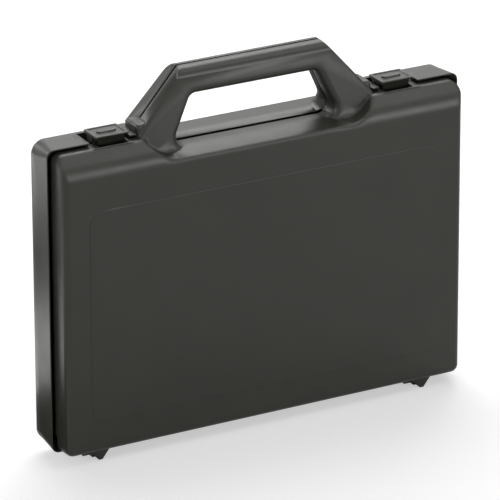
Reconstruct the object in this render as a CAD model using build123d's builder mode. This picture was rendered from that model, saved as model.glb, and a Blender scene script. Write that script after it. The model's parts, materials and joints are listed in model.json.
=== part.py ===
from build123d import *
import os
from math import atan, cos, degrees, pi, radians, sin, tan

os.makedirs("parts", exist_ok=True)

# Carry case of two hinged shells, upright, front towards -Y, in millimetres
# The origin is on the ground, under the middle of the case

# Driving sizes of the two shells
case_width = 350.0
shell_height = 242.0
lid_depth = 17.5
base_depth = 27.5
foot_height = 8.0
wall = 2.2
parting_gap = 0.5

front_y = -(lid_depth + base_depth) / 2
rim_y = front_y + lid_depth
back_y = rim_y + base_depth
bottom_z = foot_height
top_z = bottom_z + shell_height

# Front shell: it sits a little inside the rim of the back shell
lid_side_inset = 4.1
lid_top_inset = 3.0
lid_corner_radius = 7.0
lid_draft = 2.6
lid_edge_radius = 5.0
nest_depth = 2.5
nest_start = 14.0
lid_half_width = case_width / 2 - lid_side_inset
lid_top_z = top_z - lid_top_inset

# Shoulder of the front shell, as seen from the side
shoulder_drop = 22.3
shoulder_radius = 18.0
shoulder_slope = 45.0
shoulder_top_radius = 4.0

# Faint raised field on the front face
field_width = 298.0
field_height = 169.0
field_foot = 25.0
field_radius = 12.0
field_step = 0.3
lid_face_y = front_y + field_step

# Back shell
rim_corner_radius = 6.0
back_corner_radius = 11.0
band_depth = 19.5
strip_draft = 3.0
back_edge_chamfer = 1.0
base_room_radius = 7.5
base_room_draft = 1.0
rim_edge = 1.0
rim_bevel_depth = 2.4

# Saddle: the dip of both shells under the handle
saddle_half_width = 99.5
saddle_radius = 27.0
saddle_drop = 15.6
saddle_fall = 7.2
saddle_rise = 24.5
saddle_z = top_z - saddle_drop

# Handle, in two halves that meet at the split plane
split_offset = 12.3
split_y = rim_y + split_offset
split_gap = 0.3
handle_rise = 43.2
handle_half_thickness = 10.1
handle_draft = 5.3
bar_half_length = 60.2
leg_outer_slope = 41.07
bar_height = 21.3
opening_half_low = 71.4
leg_inner_slope = 25.6
opening_radius = 7.0
opening_low_radius = 8.0
foot_block_half = 100.1
foot_block_rise = 6.2
foot_block_sink = 3.6
foot_block_length = 12.0
foot_block_setback = 0.7
foot_block_depth = 19.3
foot_bend_radius = 4.0
foot_corner_radius = 3.0
foot_front_radius = 2.8
foot_back_chamfer = 0.8
bar_top_radius = 8.0
grip_radius = 5.5
handle_wall = 2.2
rib_thickness = 1.6
rib_pitch = 24.0
rib_count = 5
reveal_width = 0.7
reveal_depth = 1.0
notch_gap = 0.5
notch_depth = 4.4
handle_root = 13.0
handle_top_z = top_z + handle_rise

# Hinges below the shells
hinge_inset = 35.2
hinge_drop = 4.25
knuckle_radius = 3.0
lid_knuckle_length = 9.0
base_knuckle_length = 5.0
knuckle_gap = 0.4
hinge_pin_radius = 1.25
pin_clearance = 0.06
pin_end_inset = 0.4
hinge_half_span = case_width / 2 - hinge_inset
hinge_z = bottom_z - hinge_drop

# Feet: the lid's hinge lugs and the base's rear feet
lug_base_width = 17.0
lug_tip_width = 3.0
lug_length = 7.4
lug_hinge_gap = 0.6
rear_foot_inset = 57.0
rear_foot_length = 12.0
rear_foot_setback = 13.0
rear_foot_half_span = case_width / 2 - rear_foot_inset

# Seat of each latch in the back shell, beyond the foot of the handle
seat_margin = 6.1
seat_width = 33.3
seat_length = 22.4
seat_depth = 6.8
seat_inner = foot_block_half + seat_margin
seat_outer = seat_inner + seat_width

# Latches on top
latch_offset = 15.2
latch_center = seat_inner + latch_offset
latch_width = 27.2
latch_depth = 20.5
latch_overhang = 1.6
latch_rise = 4.1
plate_thickness = 2.6
plate_skin = 1.4
flange_thickness = 1.2
plate_corner_radius = 1.0
plate_chamfer = 0.5
plate_border = 2.0
plate_field_depth = 0.6
grip_rib_length = 16.0
grip_rib_width = 5.0
grip_rib_height = 1.2
grip_rib_chamfer = 0.5
latch_pin_setback = 15.5
latch_pin_drop = 1.4
latch_pin_radius = 1.1
latch_lug_radius = 2.5
latch_lug_width = 2.4
latch_lug_offset = 10.4
ear_width = 2.6
side_gap = 0.3
hook_half_width = 11.0
hook_thickness = 1.8
hook_depth = 5.0
hook_gap = 0.3
cheek_depth = 3.8
cheek_start = 4.8
cheek_length = 7.2

# Catch of each latch on the front shell
catch_block_gap = 0.5
catch_block_front = 6.0
catch_block_thickness = 3.3
catch_window_front = 4.0
catch_window_half = 12.0
catch_wall_start = 3.7
catch_wall_thickness = 2.0
catch_wall_rise = 3.6
catch_wall_half = 11.9

latch_front_y = rim_y - latch_overhang
latch_pin_y = rim_y + latch_pin_setback
latch_pin_z = top_z - latch_pin_drop
plate_top_z = top_z + latch_rise
plate_low_z = plate_top_z - plate_thickness
skin_low_z = plate_top_z - plate_skin
catch_back = catch_wall_start + catch_wall_thickness
far = 400.0


def front_plane(y):
    """Plane across the case at depth y, seen from the front: x to the right, z up."""
    return Plane.XZ.offset(-y)


def box_between(x_range, y_range, z_range):
    """Block between two corners, given as one pair of limits for each axis."""
    ranges = (x_range, y_range, z_range)
    size = [high - low for low, high in ranges]
    middle = [(high + low) / 2 for low, high in ranges]
    return Pos(*middle) * Box(*size, mode=Mode.PRIVATE)


def mirrored(x_range, y_range, z_range):
    """The same block on the right and, mirrored, on the left of the case."""
    left_range = (-x_range[1], -x_range[0])
    return [box_between(x_range, y_range, z_range), box_between(left_range, y_range, z_range)]


def lid_side_profile(inset):
    """Side view of the front shell, drawn inset by a wall, and left long behind the rim."""
    face_y = lid_face_y + inset
    radius = shoulder_radius - inset
    turn_z = top_z - shoulder_drop
    slope = radians(shoulder_slope)
    arc_y = face_y + radius * (1 - cos(slope))
    arc_z = turn_z + radius * sin(slope)
    high_z = lid_top_z - inset
    low_z = bottom_z + inset
    crest_y = arc_y + (high_z - arc_z) / tan(slope)
    behind_y = rim_y + nest_depth + wall
    with BuildSketch(Plane.YZ) as profile:
        with BuildLine():
            Line((behind_y, low_z), (face_y, low_z))
            Line((face_y, low_z), (face_y, turn_z))
            RadiusArc((face_y, turn_z), (arc_y, arc_z), radius)
            Line((arc_y, arc_z), (crest_y, high_z))
            Line((crest_y, high_z), (behind_y, high_z))
            Line((behind_y, high_z), (behind_y, low_z))
        make_face()
        crest = profile.vertices().group_by(Axis.Y)[-1].sort_by(Axis.X)[0]
        fillet(crest, radius=shoulder_top_radius)
    return profile.sketch


def lid_block(inset):
    """Front shell as a solid block: drafted sides, cut by the side profile."""
    start_y = rim_y + nest_depth + inset / 2
    width = 2 * (lid_half_width - inset)
    height = lid_top_z - bottom_z - 2 * inset
    shadow = extrude(lid_side_profile(inset), amount=case_width, both=True)
    with BuildPart() as block:
        with BuildSketch(front_plane(start_y)):
            with Locations((0, (lid_top_z + bottom_z) / 2)):
                RectangleRounded(width, height, lid_corner_radius - inset)
        extrude(amount=start_y - lid_face_y - inset, taper=lid_draft)
        front_edges = block.faces().sort_by(Axis.Y)[0].edges()
        fillet(front_edges, radius=lid_edge_radius - inset)
        add(shadow, mode=Mode.INTERSECT)
    return block.part


def rounded_section(y, inset, radius):
    """Rounded rectangle across the back shell at depth y, drawn towards the back."""
    section = Plane(origin=(0, y, (top_z + bottom_z) / 2), x_dir=(-1, 0, 0), z_dir=(0, 1, 0))
    with BuildSketch(section) as outline:
        RectangleRounded(case_width - 2 * inset, shell_height - 2 * inset, radius)
    return outline.sketch


def base_block():
    """Back shell as a solid block: its corners grow rounder up to a slightly tapered strip."""
    band_y = rim_y + band_depth
    strip = rounded_section(band_y, 0, back_corner_radius)
    with BuildPart() as block:
        loft([rounded_section(rim_y, 0, rim_corner_radius), strip], ruled=True)
        extrude(strip, amount=back_y - band_y, taper=strip_draft)
        chamfer(block.faces().sort_by(Axis.Y)[-1].edges(), length=back_edge_chamfer)
    return block.part


def base_room():
    """Hollow of the back shell, drafted, and widened where the wall thins to the rim."""
    rim_draft = degrees(atan((wall - rim_edge) / rim_bevel_depth))
    with BuildPart() as room:
        extrude(rounded_section(rim_y, wall, base_room_radius), amount=back_y - wall - rim_y,
                taper=base_room_draft)
        extrude(rounded_section(rim_y, rim_edge, rim_corner_radius - rim_edge),
                amount=rim_bevel_depth, taper=rim_draft)
    return room.part


def above_saddle(grow, slope, towards):
    """All the room above the saddle on one side of the split plane, grown by a wall."""
    floor_z = saddle_z - grow
    half = saddle_half_width + grow
    radius = saddle_radius + grow
    way = Vector(0, towards * cos(radians(slope)), sin(radians(slope)))
    with BuildSketch(front_plane(split_y)) as room:
        with BuildLine():
            Line((-half, far), (-half, floor_z + radius))
            RadiusArc((-half, floor_z + radius), (radius - half, floor_z), -radius)
            Line((radius - half, floor_z), (half - radius, floor_z))
            RadiusArc((half - radius, floor_z), (half, floor_z + radius), -radius)
            Line((half, floor_z + radius), (half, far))
            Line((half, far), (-half, far))
        make_face()
    return extrude(room.sketch, amount=lid_depth + base_depth, dir=way, mode=Mode.PRIVATE)


def handle_outline(inset):
    """Front view of the handle with its legs, the hand opening not cut, inset by a wall."""
    outer = radians(leg_outer_slope)
    low_z = saddle_z - handle_root
    high_z = handle_top_z - inset
    top_x = bar_half_length - inset * (1 / cos(outer) - tan(outer))
    foot_x = top_x + (high_z - low_z) * tan(outer)
    with BuildSketch(front_plane(split_y)) as outline:
        with BuildLine():
            Polyline((-top_x, high_z), (top_x, high_z), (foot_x, low_z), (-foot_x, low_z), close=True)
        make_face()
    return outline.sketch


def opening_outline(grow):
    """Front view of the hand opening, grown by a wall, run on below the saddle."""
    inner = radians(leg_inner_slope)
    low_z = saddle_z - saddle_radius
    under_z = handle_top_z - bar_height + grow
    half = opening_half_low + grow / cos(inner)
    low_x = half + (saddle_z - low_z) * tan(inner)
    under_x = half + (saddle_z - under_z) * tan(inner)
    with BuildSketch(front_plane(split_y)) as outline:
        with BuildLine():
            Polyline((-low_x, low_z), (low_x, low_z), (under_x, under_z), (-under_x, under_z),
                     close=True)
        make_face()
        fillet(outline.vertices().group_by(Axis.Y)[-1], radius=opening_radius + grow)
    return outline.sketch


def corner_web(slope, towards):
    """Web that rounds the right lower corner of the hand opening, along the sloping floor."""
    inner = radians(leg_inner_slope)
    reach = opening_low_radius / tan((pi / 2 - inner) / 2)
    x = opening_half_low
    on_floor = (x - reach, saddle_z)
    on_leg = (x - reach * sin(inner), saddle_z + reach * cos(inner))
    rise = tan(radians(slope))
    way = Vector(-rise * tan(inner), towards, rise)
    with BuildSketch(front_plane(split_y)) as web:
        with BuildLine():
            Polyline(on_floor, (x - reach, saddle_z - wall), (x + wall, saddle_z - wall),
                     (x + wall, saddle_z), on_leg)
            RadiusArc(on_floor, on_leg, -opening_low_radius)
        make_face()
    return extrude(web.sketch, amount=lid_depth + base_depth, dir=way, mode=Mode.PRIVATE)


def hand_opening(grow, slope, towards):
    """Room of the hand opening in one handle half, its floor level with the saddle."""
    room = extrude(opening_outline(grow), amount=-towards * base_depth)
    room = room & above_saddle(grow, slope, towards)
    if grow == 0:
        web = corner_web(slope, towards)
        room = room - web - mirror(web, about=Plane.YZ)
    return room


def handle_side(inset, towards):
    """Side view of one handle half as a wedge along the whole case, inset by a wall."""
    draft = radians(handle_draft)
    high_z = handle_top_z - inset
    low_z = saddle_z - handle_root
    high_y = handle_half_thickness - inset / cos(draft)
    low_y = high_y + (high_z - low_z) * tan(draft)
    with BuildSketch(Plane.YZ) as side:
        with BuildLine():
            Polyline((split_y, high_z), (split_y + towards * high_y, high_z),
                     (split_y + towards * low_y, low_z), (split_y, low_z), close=True)
        make_face()
        outer_top = side.vertices().group_by(Axis.Y)[-1].sort_by(Axis.X)[min(-towards, 0)]
        fillet(outer_top, radius=bar_top_radius - inset)
    return extrude(side.sketch, amount=case_width / 2, both=True)


def is_grip_edge(edge, towards):
    """True for the outer edges of the hand opening on one handle half."""
    box = edge.bounding_box()
    within = max(abs(box.min.X), abs(box.max.X)) < foot_start + wall
    outside = towards * (edge.center().Y - split_y) > handle_half_thickness - wall
    below_bar = box.max.Z < handle_top_z - bar_height / 2
    along = box.size.X + box.size.Z > wall
    return within and outside and below_bar and along


def handle_block(inset, slope, towards):
    """One handle half as a solid: front and side views crossed, inset by a wall."""
    front = extrude(handle_outline(inset), amount=2 * base_depth, both=True)
    side = handle_side(inset, towards)
    opening = hand_opening(inset, slope, towards)
    with BuildPart() as half:
        add(front)
        add(side, mode=Mode.INTERSECT)
        add(opening, mode=Mode.SUBTRACT)
        if inset == 0:
            opening_edges = half.edges().filter_by(lambda edge: is_grip_edge(edge, towards))
            fillet(opening_edges, radius=grip_radius)
    return half.part


def foot_profile():
    """Front view of the right foot block of the handle, with the bend into the leg."""
    outer = radians(leg_outer_slope)
    step_x = bar_half_length + (handle_top_z - foot_step_z) * tan(outer)
    high_z = foot_step_z + foot_bend_radius
    high_x = step_x - foot_bend_radius * tan(outer)
    with BuildSketch(front_plane(split_y)) as profile:
        with BuildLine():
            Polyline((foot_start, foot_low_z), (foot_block_half, foot_low_z),
                     (foot_block_half, foot_step_z), (step_x, foot_step_z), (high_x, high_z),
                     (foot_start, high_z), close=True)
        make_face()
        for x, radius in ((step_x, foot_bend_radius), (foot_block_half, foot_corner_radius)):
            corner = profile.vertices().sort_by_distance((x, foot_step_z, 0))[0]
            fillet(corner, radius=radius)
    return profile.sketch


def is_foot_edge(edge):
    """True for the edges of a foot block's end face that stay free of the leg and the shell."""
    middle = edge.center()
    high_z = foot_step_z + foot_bend_radius - wall / 2
    return middle.X > foot_start + wall and foot_low_z + wall / 2 < middle.Z < high_z


def foot_block(end_y, towards):
    """Right foot block of one handle half, its end left sharp."""
    start_y = split_y + towards * split_gap / 2
    face = Pos(0, start_y - split_y, 0) * foot_profile()
    return extrude(face, amount=start_y - end_y)


def foot_end_edges(block, towards):
    """Edges of a foot block's end face that stay free of the leg and the shell."""
    end_face = block.faces().sort_by(Axis.Y)[min(-towards, 0)]
    return end_face.edges().filter_by(is_foot_edge)


def foot_rooms(end_y, towards):
    """Hollows of the foot blocks of one handle half, open at the split plane."""
    y_range = sorted((split_y, end_y - towards * wall))
    return mirrored((foot_start, foot_block_half - wall), y_range,
                    (foot_low_z + wall, foot_step_z - wall))


def lug(x, z_top, length, y_center):
    """Foot that narrows downwards, as a trapezoid seen from the front."""
    half_base = lug_base_width / 2
    half_tip = lug_tip_width / 2
    with BuildSketch(front_plane(y_center + length / 2)) as face:
        with BuildLine():
            Polyline((x - half_base, z_top), (x + half_base, z_top), (x + half_tip, 0),
                     (x - half_tip, 0), close=True)
        make_face()
    return extrude(face.sketch, amount=length, mode=Mode.PRIVATE)


def rod(x_range, y, z, radius):
    """Round bar along the case."""
    length = x_range[1] - x_range[0]
    middle = (x_range[1] + x_range[0]) / 2
    return Pos(middle, y, z) * Rot(0, 90, 0) * Cylinder(radius, length, mode=Mode.PRIVATE)


def handle_rib_bars(towards):
    """Cross ribs that stiffen the hollow bar of one handle half."""
    y_range = sorted((split_y + towards * split_gap, split_y + towards * handle_half_thickness))
    first = -(rib_count - 1) / 2
    places = [(first + index) * rib_pitch for index in range(rib_count)]
    return [box_between((x - rib_thickness / 2, x + rib_thickness / 2), y_range,
                        (handle_top_z - bar_height, handle_top_z)) for x in places]


def reveal_ring(towards):
    """Thin step all round one handle half, beside the split plane."""
    outside = handle_outline(0) - handle_outline(reveal_depth)
    inside = opening_outline(reveal_depth) - opening_outline(0)
    amount = -towards * (split_gap / 2 + reveal_width)
    above = box_between((-case_width, case_width), (front_y, back_y), (saddle_z + reveal_depth, far))
    return [extrude(ring, amount=amount, mode=Mode.PRIVATE) & above for ring in (outside, inside)]


lid_split_y = split_y - split_gap / 2
base_split_y = split_y + split_gap / 2
sides = (-1, 1)
lid_knuckle_half = lid_knuckle_length / 2
base_knuckle_near = lid_knuckle_half + knuckle_gap
base_knuckle_far = base_knuckle_near + base_knuckle_length
lug_back_y = rim_y - knuckle_radius - lug_hinge_gap
foot_start = foot_block_half - foot_block_length
seat_floor_z = top_z - seat_depth
catch_low_z = lid_top_z - catch_block_thickness
foot_step_z = top_z + foot_block_rise
foot_low_z = top_z - foot_block_sink
foot_front_y = rim_y + foot_block_setback
foot_back_y = foot_front_y + foot_block_depth

# Front shell
lid_outer = lid_block(0)
lid_inner = lid_block(wall)
front_room = above_saddle(0, -saddle_fall, -1)
front_room_grown = above_saddle(wall, -saddle_fall, -1)
front_handle = handle_block(0, -saddle_fall, -1)
front_handle_inner = handle_block(handle_wall, -saddle_fall, -1)
front_foot = foot_block(foot_front_y, -1)
front_foot = fillet(foot_end_edges(front_foot, -1), radius=foot_front_radius)
tongue_limits = box_between((-foot_block_half, foot_block_half),
                            (rim_y + nest_depth, lid_split_y), (bottom_z, lid_top_z))
front_limits = box_between((-foot_block_half, foot_block_half), (front_y - wall, lid_split_y),
                           (bottom_z, far))

with BuildPart() as front_shell:
    add(lid_outer)
    with BuildSketch(front_plane(lid_face_y)):
        with Locations((0, bottom_z + field_foot + field_height / 2)):
            RectangleRounded(field_width, field_height, field_radius)
    extrude(amount=field_step)
    add(front_room, mode=Mode.SUBTRACT)

    # Tongue under the handle, and the front half of the handle
    add((front_room_grown - front_room) & tongue_limits)
    add(front_handle & front_room_grown & front_limits)
    for foot in (front_foot, mirror(front_foot, about=Plane.YZ, mode=Mode.PRIVATE)):
        add(foot)

    # Hollow inside, and the room that lets the lower edge swing past the back shell
    add(lid_inner - front_room_grown, mode=Mode.SUBTRACT)
    add(box_between((-case_width, case_width), (rim_y - parting_gap, far),
                    (0, bottom_z + nest_start)), mode=Mode.SUBTRACT)
    add(front_handle_inner & front_room, mode=Mode.SUBTRACT)
    for room in foot_rooms(foot_front_y, -1):
        add(room, mode=Mode.SUBTRACT)
    for rib in handle_rib_bars(-1):
        add(rib & front_handle_inner)
    for ring in reveal_ring(-1):
        add(ring, mode=Mode.SUBTRACT)

    # Catches that stand in the seats of the latches
    for side in sides:
        low, high = sorted((side * (seat_inner + catch_block_gap),
                            side * (seat_outer - catch_block_gap)))
        middle = side * latch_center
        add(box_between((low, high), (rim_y - catch_block_front, rim_y + catch_back),
                        (catch_low_z, lid_top_z)))
        window = (middle - catch_window_half, middle + catch_window_half)
        add(box_between(window, (rim_y - catch_window_front, rim_y + catch_wall_start),
                        (catch_low_z - wall, far)), mode=Mode.SUBTRACT)
        post = (middle - catch_wall_half, middle + catch_wall_half)
        add(box_between(post, (rim_y + catch_wall_start, rim_y + catch_back),
                        (catch_low_z, lid_top_z + catch_wall_rise)))

    # Hinge lugs, which are also the front feet
    for side in sides:
        x = side * hinge_half_span
        add(lug(x, bottom_z + wall / 2, lug_length, lug_back_y - lug_length / 2))
        add(rod((x - lid_knuckle_half, x + lid_knuckle_half), rim_y, hinge_z, knuckle_radius))
        add(box_between((x - lid_knuckle_half, x + lid_knuckle_half), (lug_back_y - wall, rim_y),
                        (hinge_z - knuckle_radius, hinge_z)))
        add(box_between((x - lid_knuckle_half, x + lid_knuckle_half),
                        (lug_back_y - wall, rim_y - parting_gap), (hinge_z, bottom_z + wall)))
        add(rod((x - far, x + far), rim_y, hinge_z, hinge_pin_radius + pin_clearance),
            mode=Mode.SUBTRACT)

# Back shell
base_outer = base_block()
base_inner = base_room()
back_room = above_saddle(0, saddle_rise, 1)
back_room_grown = above_saddle(wall, saddle_rise, 1)
back_handle = handle_block(0, saddle_rise, 1)
back_handle_inner = handle_block(handle_wall, saddle_rise, 1)
back_foot = foot_block(foot_back_y, 1)
back_foot = chamfer(foot_end_edges(back_foot, 1), length=foot_back_chamfer)
back_limits = box_between((-foot_block_half, foot_block_half), (base_split_y, back_y),
                          (bottom_z, far))

with BuildPart() as back_shell:
    add(base_outer)
    add(back_room, mode=Mode.SUBTRACT)
    add(box_between((-foot_block_half - notch_gap, foot_block_half + notch_gap),
                    (front_y, base_split_y), (saddle_z - notch_depth, far)),
        mode=Mode.SUBTRACT)

    # Back half of the handle
    add(back_handle & back_room_grown & back_limits)
    for foot in (back_foot, mirror(back_foot, about=Plane.YZ, mode=Mode.PRIVATE)):
        add(foot)

    # Hollow inside, with a wall that thins towards the rim
    add(base_inner - back_room_grown, mode=Mode.SUBTRACT)
    add(back_handle_inner & back_room, mode=Mode.SUBTRACT)
    for room in foot_rooms(foot_back_y, 1):
        add(room, mode=Mode.SUBTRACT)
    for rib in handle_rib_bars(1):
        add(rib & back_handle_inner)
    for ring in reveal_ring(1):
        add(ring, mode=Mode.SUBTRACT)

    # Seats of the latches, with two lugs each for the pin
    for side in sides:
        low, high = sorted((side * seat_inner, side * seat_outer))
        back_end = rim_y + seat_length
        add(box_between((low - wall, high + wall), (rim_y + catch_back + notch_gap,
                                                    back_end + wall),
                        (seat_floor_z - wall, top_z - wall / 2)))
        add(box_between((low, high), (rim_y - wall, back_end), (seat_floor_z, far)),
            mode=Mode.SUBTRACT)
        for offset in (-latch_lug_offset, latch_lug_offset):
            x = side * latch_center + offset
            x_range = (x - latch_lug_width / 2, x + latch_lug_width / 2)
            add(rod(x_range, latch_pin_y, latch_pin_z, latch_lug_radius))
            add(box_between(x_range, (latch_pin_y - latch_lug_radius,
                                      latch_pin_y + latch_lug_radius),
                            (seat_floor_z - wall / 2, latch_pin_z)))
            add(rod(x_range, latch_pin_y, latch_pin_z, latch_pin_radius), mode=Mode.SUBTRACT)

    # Hinge knuckles under the rim, and the rear feet
    for side in sides:
        x = side * hinge_half_span
        for low, high in ((x - base_knuckle_far, x - base_knuckle_near),
                          (x + base_knuckle_near, x + base_knuckle_far)):
            add(rod((low, high), rim_y, hinge_z, knuckle_radius))
            add(box_between((low, high), (rim_y, rim_y + knuckle_radius),
                            (hinge_z, bottom_z + wall)))
            add(rod((low, high), rim_y, hinge_z, hinge_pin_radius), mode=Mode.SUBTRACT)
        add(lug(side * rear_foot_half_span, bottom_z + wall / 2, rear_foot_length,
                rim_y + rear_foot_setback))


def hinge_pin(side):
    """Pin of one hinge."""
    half = base_knuckle_far - pin_end_inset
    x = side * hinge_half_span
    with BuildPart() as pin:
        add(rod((x - half, x + half), rim_y, hinge_z, hinge_pin_radius))
    return pin.part


def latch_pin(side):
    """Pin of one latch."""
    half = latch_lug_offset + latch_lug_width / 2
    x = side * latch_center
    with BuildPart() as pin:
        add(rod((x - half, x + half), latch_pin_y, latch_pin_z, latch_pin_radius))
    return pin.part


def latch(side):
    """One flip latch: plate with a turned-down edge, hook, cheeks and two ears on the pin."""
    x = side * latch_center
    half = latch_width / 2
    back = latch_front_y + latch_depth
    inner = half - flange_thickness
    hook_back_y = rim_y + catch_wall_start - hook_gap
    cheek_y = rim_y + cheek_start
    ear_far = latch_lug_offset - latch_lug_width / 2 - side_gap
    with BuildPart() as body:
        add(box_between((x - half, x + half), (latch_front_y, back), (plate_low_z, plate_top_z)))
        fillet(body.edges().filter_by(Axis.Z), radius=plate_corner_radius)
        chamfer(body.faces().sort_by(Axis.Z)[-1].edges(), length=plate_chamfer)
        with BuildSketch(Plane.XY.offset(plate_top_z)):
            with Locations((x, latch_front_y + latch_depth / 2)):
                Rectangle(latch_width - 2 * plate_border, latch_depth - 2 * plate_border)
        extrude(amount=-plate_field_depth, mode=Mode.SUBTRACT)
        with BuildSketch(Plane.XY.offset(plate_top_z - plate_field_depth)):
            with Locations((x, latch_front_y + latch_depth / 2)):
                SlotOverall(grip_rib_length, grip_rib_width)
        extrude(amount=grip_rib_height)
        chamfer(body.faces().sort_by(Axis.Z)[-1].edges(), length=grip_rib_chamfer)
        add(box_between((x - inner, x + inner), (latch_front_y, back - flange_thickness),
                        (plate_low_z, skin_low_z)), mode=Mode.SUBTRACT)
        add(box_between((x - hook_half_width, x + hook_half_width),
                        (hook_back_y - hook_thickness, hook_back_y),
                        (plate_low_z - hook_depth, skin_low_z)))
        for outer in (x - half, x + inner):
            add(box_between((outer, outer + flange_thickness), (cheek_y, cheek_y + cheek_length),
                            (plate_low_z - cheek_depth, plate_low_z)))
        for low in (x - ear_far, x + ear_far - ear_width):
            add(rod((low, low + ear_width), latch_pin_y, latch_pin_z, latch_lug_radius))
            add(box_between((low, low + ear_width), (latch_pin_y - latch_lug_radius,
                                                     latch_pin_y + latch_lug_radius),
                            (latch_pin_z, skin_low_z)))
        add(rod((x - half, x + half), latch_pin_y, latch_pin_z, latch_pin_radius + pin_clearance),
            mode=Mode.SUBTRACT)
    return body.part


def save(name, shape):
    """Label one piece and write it out."""
    shape.label = name
    print(name, round(shape.volume), shape.bounding_box(), shape.is_valid, len(shape.solids()))
    export_step(shape, "parts/" + name + ".step")


save("front_shell", front_shell.part)
save("back_shell", back_shell.part)
for side, hand in ((-1, "left"), (1, "right")):
    save("hinge_pin_" + hand, hinge_pin(side))
    save("latch_pin_" + hand, latch_pin(side))
    save("latch_" + hand, latch(side))
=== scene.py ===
import json
import math

import bmesh
import bpy
from bpy.props import FloatProperty, FloatVectorProperty, IntProperty, PointerProperty
from mathutils import Matrix, Vector

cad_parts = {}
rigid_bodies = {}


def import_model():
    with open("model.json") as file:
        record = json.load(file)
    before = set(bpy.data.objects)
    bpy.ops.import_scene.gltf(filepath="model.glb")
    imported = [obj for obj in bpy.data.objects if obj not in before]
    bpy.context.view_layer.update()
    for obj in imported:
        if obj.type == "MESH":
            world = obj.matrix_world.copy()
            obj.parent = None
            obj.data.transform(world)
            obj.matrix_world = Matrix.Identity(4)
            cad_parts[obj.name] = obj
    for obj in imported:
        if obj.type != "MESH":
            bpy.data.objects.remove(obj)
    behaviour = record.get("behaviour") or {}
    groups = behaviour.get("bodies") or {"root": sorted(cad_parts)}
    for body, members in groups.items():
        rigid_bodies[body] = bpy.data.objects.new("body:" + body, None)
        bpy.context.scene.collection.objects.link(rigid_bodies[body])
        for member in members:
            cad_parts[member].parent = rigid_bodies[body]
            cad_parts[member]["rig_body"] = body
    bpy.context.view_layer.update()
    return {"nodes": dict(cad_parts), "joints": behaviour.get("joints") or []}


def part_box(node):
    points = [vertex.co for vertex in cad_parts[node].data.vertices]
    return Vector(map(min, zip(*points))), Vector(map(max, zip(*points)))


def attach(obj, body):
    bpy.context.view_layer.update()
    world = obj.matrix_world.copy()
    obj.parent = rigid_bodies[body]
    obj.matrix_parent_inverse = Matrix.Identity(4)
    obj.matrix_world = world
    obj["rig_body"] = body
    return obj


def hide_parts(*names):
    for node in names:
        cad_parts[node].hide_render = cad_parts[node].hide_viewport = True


bl_info = {
    "name": "Plastic Carry Case",
    "version": (1, 0, 0),
    "blender": (4, 5, 0),
    "location": "3D View > Sidebar > Carry Case",
    "description": "Dresses a moulded plastic carry case and lights it in a plain studio",
    "category": "Object",
}

MM = 0.001
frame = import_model()

# The closed shells, the rim between them and the far edge of each latch's seat
HALF_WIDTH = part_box("back_shell")[1][0]
HINGE = next(joint for joint in frame["joints"] if joint["name"] == "lid_hinge")
RIM_Y = HINGE["pos_m"][1]
FOOT_HEIGHT = 8 * MM
TOP_Z = FOOT_HEIGHT + 242 * MM
SEAT_EDGE = 139.5 * MM

# Where the two halves of the handle and of the saddle under it meet
SPLIT_Y = RIM_Y + 12.3 * MM
SADDLE_Z = TOP_Z - 15.6 * MM
SADDLE_DEPTH = 14 * MM

# The split itself, and the wider groove that is moulded along it
JOINT_HALF = 0.15 * MM
GROOVE_HALF = 0.85 * MM
GROOVE_SLACK = 0.02 * MM
JOINT_SLACK = 0.1 * MM

# Top of the front shell, where the moulding is softly rounded, and how it fades out
SOFT_Y = -9 * MM
SOFT_Z = 222 * MM
SOFT_FADE_Y = 3 * MM
SOFT_FADE_Z = 5 * MM

# Extra cuts across the long faces, near their ends, which keep the shading of the ends local
CUTS_X = [place * MM for place in (60, 85, 92, 99, 107, 135, 150, 160, 165, 167.5)]
CUTS_Z = [place * MM for place in (14, 20, 30, 196, 215, 227)]
CUTS_TOP = TOP_Z + 2 * MM

# Bounds on the normals of the saddle's floor and webs, and how far up the floor's own points
FLOOR_LEAST_UP = 0.2
FLOOR_FORWARD = (-0.5, -0.05)
FLOOR_UP = 0.9

# How far the bead's middle lies behind the rim, as a share of its radius
BEAD_SINK = 0.6

# Distances under which points are merged and faces without area dissolved
MERGE_DISTANCE = 0.002 * MM
DISSOLVE_DISTANCE = 0.001 * MM

# Noise: its usual spread, the way it moves with its seed, and the scale and detail of each pattern
NOISE_SPREAD = (0.3, 0.7)
SEED_STRIDE = (1.0, 0.7, 1.3)
CLOUD = (22.0, 3.0)
SMEAR = (60.0, 4.0)
DUST = (400.0, 3.0)
MARKS = (900.0, 2.0)
FLECK = (300.0, 2.0)
GRAIN_DETAIL = 2.0

# Seeds of the noise, and the steps from a piece's own seed to those of its smears and grain
FRONT_SEED = 1.0
BACK_SEED = 4.0
LATCH_SEED = 7.0
PIN_SEED = 1.0
DUST_SEED = 5.0
FLOOR_SEED = 2.0
SMEAR_STEP = 3.0
GRAIN_STEP = 9.0

# Moulded plastic: swing of its colour and roughness, and its bump and edges
CLOUD_SWING = 0.05
SMEAR_SWING = 0.03
GRAIN_STRENGTH = 0.35
PLASTIC_IOR = 1.42
BEVEL_SAMPLES = 6

# Ranges of roughness, and plain colours; the dead black is painted shade in the grooves and the
# black cards' own colour
GROOVE_ROUGHNESS = (0.85, 1.0)
STEEL_ROUGHNESS = (0.25, 0.4)
FLOOR_SPREAD = (0.2, 0.8)
FLOOR_ROUGHNESS = (0.85, 0.95)
SHADE_AND_CARD_BLACK = (0.004, 0.004, 0.004, 1)
WHITE = (1, 1, 1, 1)

# The photograph's camera: angle, distance and framing
CAMERA_AZIMUTH = math.radians(-28.7992)
CAMERA_ELEVATION = math.radians(22.0478)
CAMERA_ROLL = math.radians(-0.156)
CAMERA_DISTANCE = 3.8337
CAMERA_TARGET = Vector((0, RIM_Y, 0.12875))
CAMERA_LENS = 365.56
CAMERA_SHIFT = (-0.01305, 0.02304)
SENSOR_WIDTH = 36
CLIP_END = 50

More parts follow.
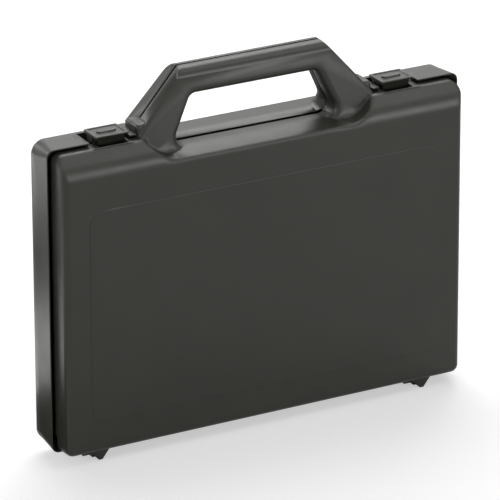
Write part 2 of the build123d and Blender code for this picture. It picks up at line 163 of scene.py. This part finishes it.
# Lamps of the studio: name, place, aim and size
MIDDLE = (0, 0, 0.13)
LAMPS = (("key", (0.45, 0.9, 1.7), MIDDLE, (1.4, 1.4)),
         ("back", (1.1, 2.0, 1.1), MIDDLE, (1.6, 0.8)),
         ("leg", (-0.95, 1.8, 1.0), MIDDLE, (0.7, 0.5)),
         ("side", (-1.9, -0.4, 0.8), MIDDLE, (0.9, 0.9)),
         ("fill", (1.2, -2.1, 0.48), (0, 0, 0.3), (1.0, 0.86)),
         ("front", (0.95, -0.8, 1.9), MIDDLE, (0.8, 0.6)))
FLOOR_SIZE = 12

# Cards on the floor behind the case, which its left side and right leg mirror, by two corners
BLACK_CARDS = (((-0.62, 0.28), (-0.25, 0.48)), ((-0.40, -0.02), (-0.18, 0.13)),
               ((-0.02, 0.26), (0.16, 0.46)))
WHITE_CARDS = (((-0.80, 0.48), (-0.25, 0.90)), ((-0.62, 0.13), (-0.18, 0.28)))
CARD_HEIGHT = 1 * MM


# Node helpers

def new_material(name):
    """Empty material with its output and one Principled shader."""
    material = bpy.data.materials.new(name)
    material.use_nodes = True
    nodes = material.node_tree.nodes
    nodes.clear()
    output = nodes.new("ShaderNodeOutputMaterial")
    shader = nodes.new("ShaderNodeBsdfPrincipled")
    material.node_tree.links.new(shader.outputs["BSDF"], output.inputs["Surface"])
    return material, shader


def noise(tree, coordinates, scale, detail, seed):
    """3-D noise on the piece's own coordinates."""
    shift = tree.nodes.new("ShaderNodeMapping")
    shift.inputs["Location"].default_value = [seed * stride for stride in SEED_STRIDE]
    texture = tree.nodes.new("ShaderNodeTexNoise")
    texture.inputs["Scale"].default_value = scale
    texture.inputs["Detail"].default_value = detail
    tree.links.new(coordinates, shift.inputs["Vector"])
    tree.links.new(shift.outputs["Vector"], texture.inputs["Vector"])
    return texture.outputs["Fac"]


def remap(tree, value, from_range, to_range):
    """Value taken from one range to another, clamped."""
    node = tree.nodes.new("ShaderNodeMapRange")
    node.inputs["From Min"].default_value = from_range[0]
    node.inputs["From Max"].default_value = from_range[1]
    node.inputs["To Min"].default_value = to_range[0]
    node.inputs["To Max"].default_value = to_range[1]
    tree.links.new(value, node.inputs["Value"])
    return node.outputs["Result"]


def spread_out(tree, pattern, to_range):
    """Noise stretched from its usual spread to a range."""
    return remap(tree, pattern, NOISE_SPREAD, to_range)


def combine(tree, operation, first, second):
    """Two values joined by one math node."""
    node = tree.nodes.new("ShaderNodeMath")
    node.operation = operation
    tree.links.new(first, node.inputs[0])
    tree.links.new(second, node.inputs[1])
    return node.outputs["Value"]


def soft_region(tree, place):
    """1 on the front of the front shell's top and handle, 0 elsewhere."""
    split = tree.nodes.new("ShaderNodeSeparateXYZ")
    tree.links.new(place, split.inputs["Vector"])
    ahead = remap(tree, split.outputs["Y"], (SOFT_Y + SOFT_FADE_Y, SOFT_Y), (0.0, 1.0))
    above = remap(tree, split.outputs["Z"], (SOFT_Z - SOFT_FADE_Z, SOFT_Z), (0.0, 1.0))
    return combine(tree, "MULTIPLY", ahead, above)


def moulded_plastic(name, settings, seed, soft_radius=None):
    """Dark moulded plastic: fine grain, faint cloudy sheen and softly rounded edges."""
    material, shader = new_material(name)
    tree = material.node_tree
    place = tree.nodes.new("ShaderNodeTexCoord").outputs["Object"]

    cloud = noise(tree, place, *CLOUD, seed)
    shade = tree.nodes.new("ShaderNodeMix")
    shade.data_type = "RGBA"
    for socket, tint in (("A", 1 - CLOUD_SWING), ("B", 1 + CLOUD_SWING)):
        shade.inputs[socket].default_value = [channel * tint for channel in settings.color] + [1.0]
    tree.links.new(spread_out(tree, cloud, (0.0, 1.0)), shade.inputs["Factor"])
    tree.links.new(shade.outputs["Result"], shader.inputs["Base Color"])

    smear = noise(tree, place, *SMEAR, seed + SMEAR_STEP)
    rough_range = (settings.roughness - SMEAR_SWING, settings.roughness + SMEAR_SWING)
    tree.links.new(spread_out(tree, smear, rough_range), shader.inputs["Roughness"])

    edges = tree.nodes.new("ShaderNodeBevel")
    edges.samples = BEVEL_SAMPLES
    edges.inputs["Radius"].default_value = settings.edge_radius
    if soft_radius:
        radii = (settings.edge_radius, soft_radius)
        radius = remap(tree, soft_region(tree, place), (0.0, 1.0), radii)
        tree.links.new(radius, edges.inputs["Radius"])
    grain = noise(tree, place, settings.grain_scale, GRAIN_DETAIL, seed + GRAIN_STEP)
    bump = tree.nodes.new("ShaderNodeBump")
    bump.inputs["Strength"].default_value = GRAIN_STRENGTH
    bump.inputs["Distance"].default_value = settings.grain_depth
    tree.links.new(grain, bump.inputs["Height"])
    tree.links.new(edges.outputs["Normal"], bump.inputs["Normal"])
    tree.links.new(bump.outputs["Normal"], shader.inputs["Normal"])
    shader.inputs["IOR"].default_value = PLASTIC_IOR
    return material


def joint_shade(name):
    """Dead black painted as shade on the narrow grooves, where no light reaches, and the black of
    black cards.
    """
    material, shader = new_material(name)
    tree = material.node_tree
    place = tree.nodes.new("ShaderNodeTexCoord").outputs["Object"]
    dust = noise(tree, place, *DUST, DUST_SEED)
    # Painted shade: this black stands in for the shade inside the grooves
    shader.inputs["Base Color"].default_value = SHADE_AND_CARD_BLACK
    shader.inputs["Specular IOR Level"].default_value = 0.0
    tree.links.new(spread_out(tree, dust, GROOVE_ROUGHNESS), shader.inputs["Roughness"])
    return material


def drawn_steel(name, settings):
    """Plain steel pin with fine marks along its length."""
    material, shader = new_material(name)
    tree = material.node_tree
    place = tree.nodes.new("ShaderNodeTexCoord").outputs["Object"]
    marks = noise(tree, place, *MARKS, PIN_SEED)
    shader.inputs["Metallic"].default_value = 1.0
    shader.inputs["Base Color"].default_value = tuple(settings.color) + (1.0,)
    tree.links.new(spread_out(tree, marks, STEEL_ROUGHNESS), shader.inputs["Roughness"])
    return material


# Mesh helpers

def even_out(skin):
    """Weight the shading by face area, so that large flat faces stay evenly lit."""
    modifier = skin.modifiers.new("even", "WEIGHTED_NORMAL")
    modifier.mode = "FACE_AREA"
    modifier.weight = 100
    modifier.keep_sharp = True
    graph = bpy.context.evaluated_depsgraph_get()
    smooth = bpy.data.meshes.new_from_object(skin.evaluated_get(graph))
    smooth.name = skin.data.name + "_even"
    skin.modifiers.clear()
    skin.data = smooth


def carve(skin, low, high, shade):
    """Cut a box out of a skin, the cut faces given the black of painted shade."""
    work = bmesh.new()
    bmesh.ops.create_cube(work, size=1)
    middle = (Vector(low) + Vector(high)) / 2
    spread = Vector(high) - Vector(low)
    for point in work.verts:
        point.co = middle + Vector(a * b for a, b in zip(point.co, spread))
    mesh = bpy.data.meshes.new("cutter")
    work.to_mesh(mesh)
    work.free()
    mesh.materials.append(shade)
    cutter = bpy.data.objects.new("cutter", mesh)
    bpy.context.scene.collection.objects.link(cutter)
    modifier = skin.modifiers.new("carve", "BOOLEAN")
    modifier.operation = "DIFFERENCE"
    modifier.solver = "EXACT"
    modifier.material_mode = "TRANSFER"
    modifier.object = cutter
    graph = bpy.context.evaluated_depsgraph_get()
    carved = bpy.data.meshes.new_from_object(skin.evaluated_get(graph))
    carved.name = skin.data.name + "_carved"
    skin.modifiers.clear()
    skin.data = carved
    bpy.data.objects.remove(cutter)


def cut_across(skin, axis, places):
    """Split the faces below the handle along planes across one axis, without changing the shape."""
    direction = Vector([float(index == axis) for index in range(3)])
    work = bmesh.new()
    work.from_mesh(skin.data)
    for place in places:
        faces = [face for face in work.faces if all(point.co.z < CUTS_TOP for point in face.verts)]
        edges = {edge for face in faces for edge in face.edges}
        points = {point for face in faces for point in face.verts}
        bmesh.ops.bisect_plane(work, geom=[*points, *edges, *faces], dist=DISSOLVE_DISTANCE,
                               plane_co=direction * place, plane_no=direction)
    work.to_mesh(skin.data)
    work.free()


def level_saddle(skin, turn):
    """Shade the floor of the back shell's saddle as if crowned, fading out up its corner webs."""
    mesh = skin.data
    normals = [corner.vector.copy() for corner in mesh.corner_normals]
    for polygon in mesh.polygons:
        inside = SPLIT_Y < polygon.center.y and 0 < polygon.center.z - SADDLE_Z < SADDLE_DEPTH
        sloping = FLOOR_FORWARD[0] < polygon.normal.y < FLOOR_FORWARD[1]
        if inside and sloping and polygon.normal.z > FLOOR_LEAST_UP:
            for index in polygon.loop_indices:
                share = min(1.0, max(0.0, normals[index].z / FLOOR_UP))
                normals[index] = Matrix.Rotation(turn * share, 3, "X") @ normals[index]
    mesh.normals_split_custom_set(normals)


def shade_groove(skin, slot_index):
    """Give the black of painted shade to the floor and walls of the groove round the handle."""
    mesh = skin.data
    for polygon in mesh.polygons:
        ways = [abs(mesh.vertices[index].co.y - SPLIT_Y) for index in polygon.vertices]
        inside = JOINT_HALF + JOINT_SLACK < max(ways) < GROOVE_HALF + GROOVE_SLACK
        if inside and polygon.center.z > SADDLE_Z:
            polygon.material_index = slot_index


def skin_of(node, name, sharp_angle):
    """Copy of a CAD node with merged points and smooth rounded faces, riding on its body."""
    source = frame["nodes"][node]
    mesh = source.data.copy()
    mesh.name = name
    work = bmesh.new()
    work.from_mesh(mesh)
    bmesh.ops.remove_doubles(work, verts=work.verts, dist=MERGE_DISTANCE)
    bmesh.ops.dissolve_degenerate(work, dist=DISSOLVE_DISTANCE, edges=work.edges)
    work.to_mesh(mesh)
    work.free()
    for polygon in mesh.polygons:
        polygon.use_smooth = True
    mesh.set_sharp_from_angle(angle=sharp_angle)
    mesh.materials.clear()
    skin = bpy.data.objects.new(name, mesh)
    bpy.context.scene.collection.objects.link(skin)
    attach(skin, source["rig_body"])
    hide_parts(node)
    return skin


def finish_with(piece, material):
    """Give one piece its material."""
    piece.data.materials.append(material)


def finish_shell(skin, settings, seed, groove_low_y, groove_high_y, soft_radius=None):
    """Finish one shell, with the groove carved along its half of the handle and saddle and painted
    black as shade.
    """
    plastic = moulded_plastic(skin.name + "_plastic", settings, seed, soft_radius)
    finish_with(skin, plastic)
    # Painted shade: black material for the groove's faces
    shade = joint_shade(skin.name + "_groove")
    skin.data.materials.append(shade)
    half = settings.groove_half_length
    depth = settings.groove_depth
    low = (-half, groove_low_y, SADDLE_Z - depth)
    high = (half, groove_high_y, SADDLE_Z + depth)
    carve(skin, low, high, shade)
    shade_groove(skin, 1)
    cut_across(skin, 0, [side * place for place in CUTS_X for side in (-1, 1)])
    cut_across(skin, 2, CUTS_Z)
    skin.data.set_sharp_from_angle(angle=settings.sharp_angle)
    even_out(skin)


# Settings that a user would change

class ShellSettings(bpy.types.PropertyGroup):
    color: FloatVectorProperty(name="Colour", description="Colour of the moulded shells",
                               subtype="COLOR", size=3, min=0, max=1, default=(0.034, 0.034, 0.028))
    roughness: FloatProperty(name="Roughness", description="Roughness of the moulded face",
                             subtype="FACTOR", min=0, max=1, default=0.33)
    grain_scale: FloatProperty(name="Grain scale", description="How fine the grain is",
                               min=100, max=6000, default=2600)
    grain_depth: FloatProperty(name="Grain depth", description="Depth of the moulded grain",
                               unit="LENGTH", precision=5, default=0.06 * MM)
    edge_radius: FloatProperty(name="Edge radius", description="Softness of every moulded edge",
                               unit="LENGTH", precision=5, default=0.5 * MM)
    sharp_angle: FloatProperty(name="Crease angle",
                               description="Edges steeper than this stay crisp",
                               subtype="ANGLE", default=math.radians(32))
    soft_radius: FloatProperty(name="Soft radius", description="Softness of the front shell's top",
                               unit="LENGTH", precision=5, default=4.0 * MM)
    groove_half_length: FloatProperty(name="Groove half length",
                                      description="Reach of the saddle's groove",
                                      unit="LENGTH", precision=5, default=67.5 * MM)
    groove_front: FloatProperty(name="Groove width",
                                description="Width of the groove in the front shell",
                                unit="LENGTH", precision=5, default=1.7 * MM)
    groove_depth: FloatProperty(name="Groove depth", description="Depth of the saddle's groove",
                                unit="LENGTH", precision=5, default=1.3 * MM)
    saddle_turn: FloatProperty(name="Saddle turn",
                               description="Turn of the shading on the back of the saddle",
                               subtype="ANGLE", default=math.radians(-19))


class LatchSettings(bpy.types.PropertyGroup):
    color: FloatVectorProperty(name="Colour", description="Colour of the latches",
                               subtype="COLOR", size=3, min=0, max=1, default=(0.034, 0.034, 0.028))
    roughness: FloatProperty(name="Roughness", description="Roughness of the latches",
                             subtype="FACTOR", min=0, max=1, default=0.33)
    grain_scale: FloatProperty(name="Grain scale", description="How fine the grain is",
                               min=100, max=6000, default=2600)
    grain_depth: FloatProperty(name="Grain depth", description="Depth of the moulded grain",
                               unit="LENGTH", precision=5, default=0.03 * MM)
    edge_radius: FloatProperty(name="Edge radius", description="Softness of the latch's edges",
                               unit="LENGTH", precision=5, default=0.25 * MM)
    sharp_angle: FloatProperty(name="Crease angle",
                               description="Edges steeper than this stay crisp",
                               subtype="ANGLE", default=math.radians(32))


class RimSettings(bpy.types.PropertyGroup):
    bead_radius: FloatProperty(name="Bead radius", description="Radius of the rounded rim",
                               unit="LENGTH", precision=5, default=0.55 * MM)
    corner_radius: FloatProperty(name="Corner radius", description="Radius of the rim's corners",
                                 unit="LENGTH", precision=5, default=5.5 * MM)
    corner_steps: IntProperty(name="Corner steps", description="Segments in each corner",
                              min=2, max=64, default=16)
    sides: IntProperty(name="Bead sides", description="Faces round the bead",
                       min=6, max=32, default=12)


class PinSettings(bpy.types.PropertyGroup):
    color: FloatVectorProperty(name="Colour", description="Colour of the steel pins",
                               subtype="COLOR", size=3, min=0, max=1, default=(0.56, 0.56, 0.57))
    sharp_angle: FloatProperty(name="Crease angle",
                               description="Edges steeper than this stay crisp",
                               subtype="ANGLE", default=math.radians(40))


class StageSettings(bpy.types.PropertyGroup):
    floor_tone: FloatProperty(name="Floor tone", description="How pale the floor is",
                              subtype="FACTOR", min=0, max=1, default=0.66)
    floor_lift: FloatProperty(name="Floor lift", description="White added where the floor is seen",
                              subtype="FACTOR", min=0, max=1, default=0.5)
    floor_mirror: FloatProperty(name="Floor mirror",
                                description="Share of the lift in mirror images",
                                subtype="FACTOR", min=0, max=1, default=0.5)
    card_glow: FloatProperty(name="Card glow", description="Brightness of the white cards",
                             min=0, max=4, default=2.1)
    sky_light: FloatProperty(name="Sky light", description="Light that the white room gives",
                             min=0, max=2, default=0.2)
    key_power: FloatProperty(name="Key power", description="Power of the lamp above and behind",
                             unit="POWER", default=27)
    back_power: FloatProperty(name="Back power", description="Power of the lamp far behind",
                              unit="POWER", default=1)
    leg_power: FloatProperty(name="Leg power", description="Power of the lamp behind on the left",
                             unit="POWER", default=4)
    front_power: FloatProperty(name="Front power", description="Power of the lamp above the front",
                               unit="POWER", default=3)
    side_power: FloatProperty(name="Side power", description="Power of the lamp on the left",
                              unit="POWER", default=9)
    fill_power: FloatProperty(name="Fill power", description="Power of the lamp on the right",
                              unit="POWER", default=15)


class CaseSettings(bpy.types.PropertyGroup):
    shell: PointerProperty(type=ShellSettings, name="Shells", description="The two shells")
    latch: PointerProperty(type=LatchSettings, name="Latches", description="The flip latches")
    rim: PointerProperty(type=RimSettings, name="Rim", description="The back shell's rim")
    pin: PointerProperty(type=PinSettings, name="Pins", description="Hinge and latch pins")
    stage: PointerProperty(type=StageSettings, name="Stage", description="Floor and lamps")


# Front shell

class CASE_OT_front_shell(bpy.types.Operator):
    """Dress the front shell with its half of the handle"""
    bl_idname = "carry_case.front_shell"
    bl_label = "Front Shell"

    def execute(self, context):
        settings = context.scene.carry_case.shell
        skin = skin_of("front_shell", "front_shell_skin", settings.sharp_angle)
        finish_shell(skin, settings, FRONT_SEED, SPLIT_Y - settings.groove_front, SPLIT_Y,
                     settings.soft_radius)
        return {"FINISHED"}


# Back shell

class CASE_OT_back_shell(bpy.types.Operator):
    """Dress the back shell with its half of the handle"""
    bl_idname = "carry_case.back_shell"
    bl_label = "Back Shell"

    def execute(self, context):
        settings = context.scene.carry_case.shell
        skin = skin_of("back_shell", "back_shell_skin", settings.sharp_angle)
        finish_shell(skin, settings, BACK_SEED, SPLIT_Y, SPLIT_Y + GROOVE_HALF)
        level_saddle(skin, settings.saddle_turn)
        return {"FINISHED"}


# Rounded rim of the back shell

def rim_path(settings):
    """Open curve along the rim, from one latch seat round the bottom to the other."""
    inset = settings.bead_radius
    half = HALF_WIDTH - inset
    low = FOOT_HEIGHT + inset
    high = TOP_Z - inset
    radius = settings.corner_radius
    y = RIM_Y + inset * BEAD_SINK
    corners = (((half - radius, high - radius), 90), ((half - radius, low + radius), 0),
               ((radius - half, low + radius), -90), ((radius - half, high - radius), 180))
    points = [(SEAT_EDGE, y, high)]
    for (x, z), start in corners:
        for step in range(settings.corner_steps + 1):
            angle = math.radians(start - 90 * step / settings.corner_steps)
            points.append((x + radius * math.cos(angle), y, z + radius * math.sin(angle)))
    points.append((-SEAT_EDGE, y, high))
    curve = bpy.data.curves.new("rim_path", "CURVE")
    curve.dimensions = "3D"
    spline = curve.splines.new("POLY")
    spline.points.add(len(points) - 1)
    for point, place in zip(spline.points, points):
        point.co = (*place, 1)
    return curve


def bead_tree():
    """Geometry nodes that sweep a round bead along a curve."""
    tree = bpy.data.node_groups.new("bead_along_path", "GeometryNodeTree")
    face = tree.interface
    face.new_socket("Geometry", in_out="INPUT", socket_type="NodeSocketGeometry")
    radius = face.new_socket("Bead radius", in_out="INPUT", socket_type="NodeSocketFloat")
    sides = face.new_socket("Bead sides", in_out="INPUT", socket_type="NodeSocketInt")
    finish = face.new_socket("Material", in_out="INPUT", socket_type="NodeSocketMaterial")
    face.new_socket("Geometry", in_out="OUTPUT", socket_type="NodeSocketGeometry")
    entry = tree.nodes.new("NodeGroupInput")
    circle = tree.nodes.new("GeometryNodeCurvePrimitiveCircle")
    sweep = tree.nodes.new("GeometryNodeCurveToMesh")
    smooth = tree.nodes.new("GeometryNodeSetShadeSmooth")
    real = tree.nodes.new("GeometryNodeRealizeInstances")
    paint = tree.nodes.new("GeometryNodeSetMaterial")
    leave = tree.nodes.new("NodeGroupOutput")
    sweep.inputs["Fill Caps"].default_value = True
    link = tree.links.new
    link(entry.outputs["Bead radius"], circle.inputs["Radius"])
    link(entry.outputs["Bead sides"], circle.inputs["Resolution"])
    link(entry.outputs["Geometry"], sweep.inputs["Curve"])
    link(circle.outputs["Curve"], sweep.inputs["Profile Curve"])
    link(sweep.outputs["Mesh"], smooth.inputs["Geometry"])
    link(smooth.outputs["Geometry"], real.inputs["Geometry"])
    link(real.outputs["Geometry"], paint.inputs["Geometry"])
    link(entry.outputs["Material"], paint.inputs["Material"])
    link(paint.outputs["Geometry"], leave.inputs["Geometry"])
    return tree, radius.identifier, sides.identifier, finish.identifier


class CASE_OT_rim(bpy.types.Operator):
    """Round the rim of the back shell with a bead along its edge"""
    bl_idname = "carry_case.rim"
    bl_label = "Rim"

    def execute(self, context):
        settings = context.scene.carry_case.rim
        shell = context.scene.carry_case.shell
        material = moulded_plastic("rim_plastic", shell, BACK_SEED)
        path = bpy.data.objects.new("rim_source", rim_path(settings))
        context.scene.collection.objects.link(path)
        tree, radius, sides, finish = bead_tree()
        modifier = path.modifiers.new("bead", "NODES")
        modifier.node_group = tree
        modifier[radius] = settings.bead_radius
        modifier[sides] = settings.sides
        modifier[finish] = material
        graph = context.evaluated_depsgraph_get()
        mesh = bpy.data.meshes.new_from_object(path.evaluated_get(graph))
        bpy.data.objects.remove(path)
        mesh.name = "back_shell_rim"
        bead = bpy.data.objects.new("back_shell_rim", mesh)
        context.scene.collection.objects.link(bead)
        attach(bead, "back_shell")
        return {"FINISHED"}


# Latches

class CASE_OT_latches(bpy.types.Operator):
    """Dress both flip latches"""
    bl_idname = "carry_case.latches"
    bl_label = "Latches"

    def execute(self, context):
        settings = context.scene.carry_case.latch
        material = moulded_plastic("latch_plastic", settings, LATCH_SEED)
        for hand in ("left", "right"):
            skin = skin_of("latch_" + hand, "latch_" + hand + "_skin", settings.sharp_angle)
            finish_with(skin, material)
            even_out(skin)
        return {"FINISHED"}


# Pins

class CASE_OT_pins(bpy.types.Operator):
    """Dress the steel pins of the hinges and latches"""
    bl_idname = "carry_case.pins"
    bl_label = "Pins"

    def execute(self, context):
        settings = context.scene.carry_case.pin
        material = drawn_steel("pin_steel", settings)
        for kind in ("hinge_pin", "latch_pin"):
            for hand in ("left", "right"):
                node = kind + "_" + hand
                skin = skin_of(node, node + "_skin", settings.sharp_angle)
                finish_with(skin, material)
                even_out(skin)
        return {"FINISHED"}


# Stage: floor, lamps, world and camera

def lamp(name, place, aim, size, power):
    """Rectangular soft lamp at a place, pointed at another."""
    light = bpy.data.lights.new(name, "AREA")
    light.shape = "RECTANGLE"
    light.size, light.size_y = size
    light.energy = power
    holder = bpy.data.objects.new(name, light)
    holder.visible_camera = False
    bpy.context.scene.collection.objects.link(holder)
    direction = Vector(aim) - Vector(place)
    turn = direction.to_track_quat("-Z", "Y").to_matrix().to_4x4()
    holder.matrix_world = Matrix.Translation(place) @ turn


def camera_matrix():
    """Camera place and turn worked out from its angles, distance and roll."""
    azimuth, elevation = CAMERA_AZIMUTH, CAMERA_ELEVATION
    back = Vector((math.sin(azimuth) * math.cos(elevation),
                   -math.cos(azimuth) * math.cos(elevation), math.sin(elevation)))
    level = Vector((math.cos(azimuth), math.sin(azimuth), 0))
    upright = back.cross(level)
    right = level * math.cos(CAMERA_ROLL) + upright * math.sin(CAMERA_ROLL)
    up = upright * math.cos(CAMERA_ROLL) - level * math.sin(CAMERA_ROLL)
    place = CAMERA_TARGET + back * CAMERA_DISTANCE
    turn = Matrix((right, up, back)).transposed().to_4x4()
    return Matrix.Translation(place) @ turn


def where_seen(tree, mirrored):
    """1 for rays that show the backdrop itself, a share for its mirror image, 0 for the rest."""
    rays = tree.nodes.new("ShaderNodeLightPath")
    image = remap(tree, rays.outputs["Is Glossy Ray"], (0, 1), (0.0, mirrored))
    seen = combine(tree, "MAXIMUM", rays.outputs["Is Camera Ray"], image)
    return combine(tree, "MAXIMUM", seen, rays.outputs["Is Transmission Ray"])


def pale_world(sky_light):
    """World that shows white behind the case and lights it softly."""
    world = bpy.data.worlds.new("studio")
    world.use_nodes = True
    tree = world.node_tree
    background = tree.nodes["Background"]
    background.inputs["Color"].default_value = WHITE
    strength = remap(tree, where_seen(tree, 1.0), (0, 1), (sky_light, 1.0))
    tree.links.new(strength, background.inputs["Strength"])
    bpy.context.scene.world = world


def floor_material(tone, lift, mirrored):
    """Plain pale floor that looks white and keeps the shadow."""
    material, shader = new_material("floor_paper")
    tree = material.node_tree
    place = tree.nodes.new("ShaderNodeTexCoord").outputs["Object"]
    shader.inputs["Base Color"].default_value = (tone, tone, tone, 1)
    shader.inputs["Specular IOR Level"].default_value = 0.0
    fleck = noise(tree, place, *FLECK, FLOOR_SEED)
    rough = remap(tree, fleck, FLOOR_SPREAD, FLOOR_ROUGHNESS)
    tree.links.new(rough, shader.inputs["Roughness"])
    shader.inputs["Emission Color"].default_value = WHITE
    glow = remap(tree, where_seen(tree, mirrored), (0, 1), (0.0, lift))
    tree.links.new(glow, shader.inputs["Emission Strength"])
    return material


def card_material(name, glow):
    """Matt card, black or glowing white."""
    material = joint_shade(name)
    shader = material.node_tree.nodes["Principled BSDF"]
    shader.inputs["Emission Color"].default_value = WHITE
    shader.inputs["Emission Strength"].default_value = glow
    return material


def floor_card(name, low, high, material):
    """Card flat on the floor that shows only as a mirror image and gives no shadow."""
    corners = [(low[0], low[1]), (high[0], low[1]), (high[0], high[1]), (low[0], high[1])]
    mesh = bpy.data.meshes.new(name)
    mesh.from_pydata([(x, y, CARD_HEIGHT) for x, y in corners], [], [(0, 1, 2, 3)])
    mesh.materials.append(material)
    card = bpy.data.objects.new(name, mesh)
    bpy.context.scene.collection.objects.link(card)
    card.visible_camera = False
    card.visible_diffuse = False
    card.visible_shadow = False


class CASE_OT_stage(bpy.types.Operator):
    """Build the pale floor, the lamps and the camera"""
    bl_idname = "carry_case.stage"
    bl_label = "Stage"

    def execute(self, context):
        settings = context.scene.carry_case.stage
        scene = context.scene
        bpy.ops.mesh.primitive_plane_add(size=FLOOR_SIZE, location=(0, 0, 0))
        floor = context.object
        floor.name = "floor"
        paper = floor_material(settings.floor_tone, settings.floor_lift, settings.floor_mirror)
        floor.data.materials.append(paper)
        tones = (("black", 0.0, BLACK_CARDS), ("white", settings.card_glow, WHITE_CARDS))
        for tone, glow, cards in tones:
            material = card_material("card_" + tone, glow)
            for index, (low, high) in enumerate(cards):
                floor_card("card_%s_%d" % (tone, index), low, high, material)
        pale_world(settings.sky_light)
        for name, place, aim, size in LAMPS:
            lamp(name + "_lamp", place, aim, size, getattr(settings, name + "_power"))
        lens = bpy.data.cameras.new("photo_camera")
        lens.lens = CAMERA_LENS
        lens.sensor_width = SENSOR_WIDTH
        lens.shift_x, lens.shift_y = CAMERA_SHIFT
        lens.clip_end = CLIP_END
        camera = bpy.data.objects.new("photo_camera", lens)
        scene.collection.objects.link(camera)
        camera.matrix_world = camera_matrix()
        scene.camera = camera
        scene.view_settings.view_transform = "Standard"
        return {"FINISHED"}


OPERATORS = (CASE_OT_front_shell, CASE_OT_back_shell, CASE_OT_rim, CASE_OT_latches, CASE_OT_pins,
             CASE_OT_stage)


class CASE_PT_panel(bpy.types.Panel):
    """Sidebar panel with every step and its settings"""
    bl_idname = "CASE_PT_panel"
    bl_label = "Carry Case"
    bl_space_type = "VIEW_3D"
    bl_region_type = "UI"
    bl_category = "Carry Case"

    def draw(self, context):
        for operator in OPERATORS:
            self.layout.operator(operator.bl_idname)
        settings = context.scene.carry_case
        for group in (settings.shell, settings.latch, settings.rim, settings.pin, settings.stage):
            box = self.layout.box()
            for name in group.bl_rna.properties.keys():
                if name not in ("rna_type", "name"):
                    box.prop(group, name)


CLASSES = (ShellSettings, LatchSettings, RimSettings, PinSettings, StageSettings, CaseSettings,
           *OPERATORS, CASE_PT_panel)


def register():
    for item in CLASSES:
        bpy.utils.register_class(item)
    bpy.types.Scene.carry_case = PointerProperty(type=CaseSettings)


def unregister():
    del bpy.types.Scene.carry_case
    for item in reversed(CLASSES):
        bpy.utils.unregister_class(item)


def main():
    register()
    bpy.ops.carry_case.front_shell()
    bpy.ops.carry_case.back_shell()
    bpy.ops.carry_case.rim()
    bpy.ops.carry_case.latches()
    bpy.ops.carry_case.pins()
    bpy.ops.carry_case.stage()


if __name__ == "__main__":
    main()
